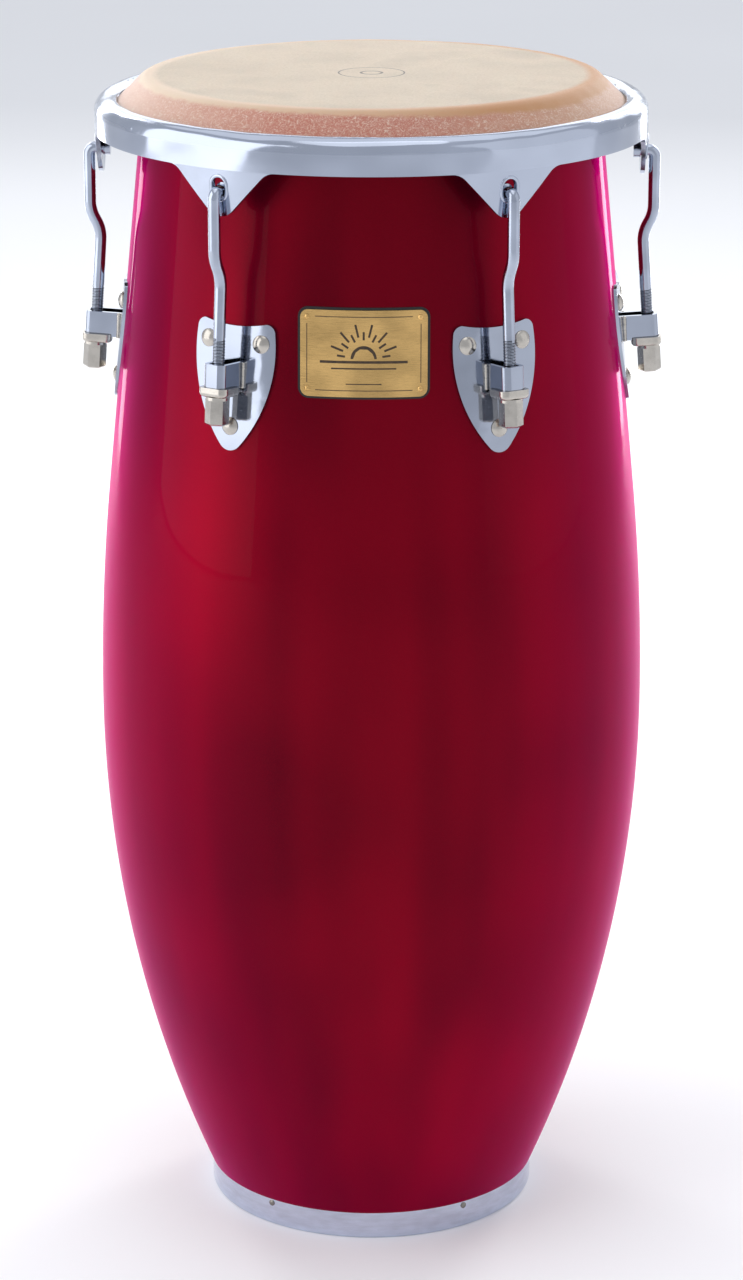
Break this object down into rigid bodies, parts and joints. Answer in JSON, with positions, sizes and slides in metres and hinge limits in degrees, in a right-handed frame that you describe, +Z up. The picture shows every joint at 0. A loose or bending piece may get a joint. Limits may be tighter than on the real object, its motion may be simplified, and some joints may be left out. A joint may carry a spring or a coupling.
{
  "type": "conga drum",
  "caption": "Tall barrel hand drum with a hide head, steel tension rim, tension hooks with nuts, lug plates, badge and base ring.",
  "frame": {"origin": "on the floor under the middle of the drum", "axes": "+Z up along the drum's axis, the badge faces -Y, +X to the right seen from the front"},
  "size_m": [0.377, 0.3574, 0.762],
  "materials": {
    "shell_lacquer": "gloss",
    "ring_steel": "satin",
    "rim_chrome": "polished",
    "hook_chrome": "polished",
    "plate_chrome": "polished",
    "nickel": "polished",
    "hide": "dry rawhide",
    "hoop_steel": "drawn wire",
    "zinc_steel": "zinc plated",
    "badge_brass": "brushed",
    "badge_backing": "black",
    "screw_brass": "polished"
  },
  "bodies": {
    "shell": {"shell": "shell_lacquer", "base_ring": "ring_steel", "base_ring_screws": "nickel", "drum_skin": "hide", "lug_bolt_nuts": "zinc_steel", "badge_plate": "badge_brass", "badge_backing": "badge_backing", "badge_screws": "screw_brass", "lug_plate_front_left": "plate_chrome", "lug_bracket_front_left": "plate_chrome", "lug_bolts_front_left": "nickel", "backing_plate_front_left": "zinc_steel", "cup_washer_front_left": "nickel", "lug_plate_front_right": "plate_chrome", "lug_bracket_front_right": "plate_chrome", "lug_bolts_front_right": "nickel", "backing_plate_front_right": "zinc_steel", "cup_washer_front_right": "nickel", "lug_plate_side_left": "plate_chrome", "lug_bracket_side_left": "plate_chrome", "lug_bolts_side_left": "nickel", "backing_plate_side_left": "zinc_steel", "cup_washer_side_left": "nickel", "lug_plate_side_right": "plate_chrome", "lug_bracket_side_right": "plate_chrome", "lug_bolts_side_right": "nickel", "backing_plate_side_right": "zinc_steel", "cup_washer_side_right": "nickel", "lug_plate_back_left": "plate_chrome", "lug_bracket_back_left": "plate_chrome", "lug_bolts_back_left": "nickel", "backing_plate_back_left": "zinc_steel", "cup_washer_back_left": "nickel", "lug_plate_back_right": "plate_chrome", "lug_bracket_back_right": "plate_chrome", "lug_bolts_back_right": "nickel", "backing_plate_back_right": "zinc_steel", "cup_washer_back_right": "nickel"},
    "rim": {"tension_rim": "rim_chrome", "flesh_hoop": "hoop_steel"},
    "hook_front_left": {"tension_hook_front_left": "hook_chrome"},
    "hook_front_right": {"tension_hook_front_right": "hook_chrome"},
    "hook_side_left": {"tension_hook_side_left": "hook_chrome"},
    "hook_side_right": {"tension_hook_side_right": "hook_chrome"},
    "hook_back_left": {"tension_hook_back_left": "hook_chrome"},
    "hook_back_right": {"tension_hook_back_right": "hook_chrome"},
    "nut_front_left": {"tuning_nut_front_left": "nickel"},
    "nut_front_right": {"tuning_nut_front_right": "nickel"},
    "nut_side_left": {"tuning_nut_side_left": "nickel"},
    "nut_side_right": {"tuning_nut_side_right": "nickel"},
    "nut_back_left": {"tuning_nut_back_left": "nickel"},
    "nut_back_right": {"tuning_nut_back_right": "nickel"}
  },
  "joints": [
    {"name": "head_tension", "type": "slide", "parent": "shell", "child": "rim", "axis": [0, 0, -1], "range_m": [-0.003, 0.004], "deforming": ["drum_skin"]},
    {"name": "hook_draw_front_left", "type": "slide", "parent": "shell", "child": "hook_front_left", "axis": [-0.0349, -0.0604, -0.9976], "range_m": [-0.00302, 0.00402]},
    {"name": "hook_draw_front_right", "type": "slide", "parent": "shell", "child": "hook_front_right", "axis": [0.0349, -0.0604, -0.9976], "range_m": [-0.00302, 0.00402]},
    {"name": "hook_draw_side_left", "type": "slide", "parent": "shell", "child": "hook_side_left", "axis": [-0.0698, 0, -0.9976], "range_m": [-0.00302, 0.00402]},
    {"name": "hook_draw_side_right", "type": "slide", "parent": "shell", "child": "hook_side_right", "axis": [0.0698, 0, -0.9976], "range_m": [-0.00302, 0.00402]},
    {"name": "hook_draw_back_left", "type": "slide", "parent": "shell", "child": "hook_back_left", "axis": [-0.0349, 0.0604, -0.9976], "range_m": [-0.00302, 0.00402]},
    {"name": "hook_draw_back_right", "type": "slide", "parent": "shell", "child": "hook_back_right", "axis": [0.0349, 0.0604, -0.9976], "range_m": [-0.00302, 0.00402]},
    {"name": "nut_turn_front_left", "type": "hinge", "parent": "shell", "child": "nut_front_left", "pos_m": [-0.08949, -0.15501, 0.599], "axis": [0.0349, 0.0604, 0.9976], "range_deg": [-870, 1160]},
    {"name": "nut_turn_front_right", "type": "hinge", "parent": "shell", "child": "nut_front_right", "pos_m": [0.08949, -0.15501, 0.599], "axis": [-0.0349, 0.0604, 0.9976], "range_deg": [-870, 1160]},
    {"name": "nut_turn_side_left", "type": "hinge", "parent": "shell", "child": "nut_side_left", "pos_m": [-0.17899, 0, 0.599], "axis": [0.0698, 0, 0.9976], "range_deg": [-870, 1160]},
    {"name": "nut_turn_side_right", "type": "hinge", "parent": "shell", "child": "nut_side_right", "pos_m": [0.17899, 0, 0.599], "axis": [-0.0698, 0, 0.9976], "range_deg": [-870, 1160]},
    {"name": "nut_turn_back_left", "type": "hinge", "parent": "shell", "child": "nut_back_left", "pos_m": [-0.08949, 0.15501, 0.599], "axis": [0.0349, -0.0604, 0.9976], "range_deg": [-870, 1160]},
    {"name": "nut_turn_back_right", "type": "hinge", "parent": "shell", "child": "nut_back_right", "pos_m": [0.08949, 0.15501, 0.599], "axis": [-0.0349, -0.0604, 0.9976], "range_deg": [-870, 1160]}
  ],
  "couplings": [
    {"joint": "hook_draw_front_left", "follows": "head_tension", "ratio": 1.0024},
    {"joint": "hook_draw_front_right", "follows": "head_tension", "ratio": 1.0024},
    {"joint": "hook_draw_side_left", "follows": "head_tension", "ratio": 1.0024},
    {"joint": "hook_draw_side_right", "follows": "head_tension", "ratio": 1.0024},
    {"joint": "hook_draw_back_left", "follows": "head_tension", "ratio": 1.0024},
    {"joint": "hook_draw_back_right", "follows": "head_tension", "ratio": 1.0024},
    {"joint": "nut_turn_front_left", "follows": "head_tension", "rad_per_m": 5038.8},
    {"joint": "nut_turn_front_right", "follows": "head_tension", "rad_per_m": 5038.8},
    {"joint": "nut_turn_side_left", "follows": "head_tension", "rad_per_m": 5038.8},
    {"joint": "nut_turn_side_right", "follows": "head_tension", "rad_per_m": 5038.8},
    {"joint": "nut_turn_back_left", "follows": "head_tension", "rad_per_m": 5038.8},
    {"joint": "nut_turn_back_right", "follows": "head_tension", "rad_per_m": 5038.8}
  ]
}
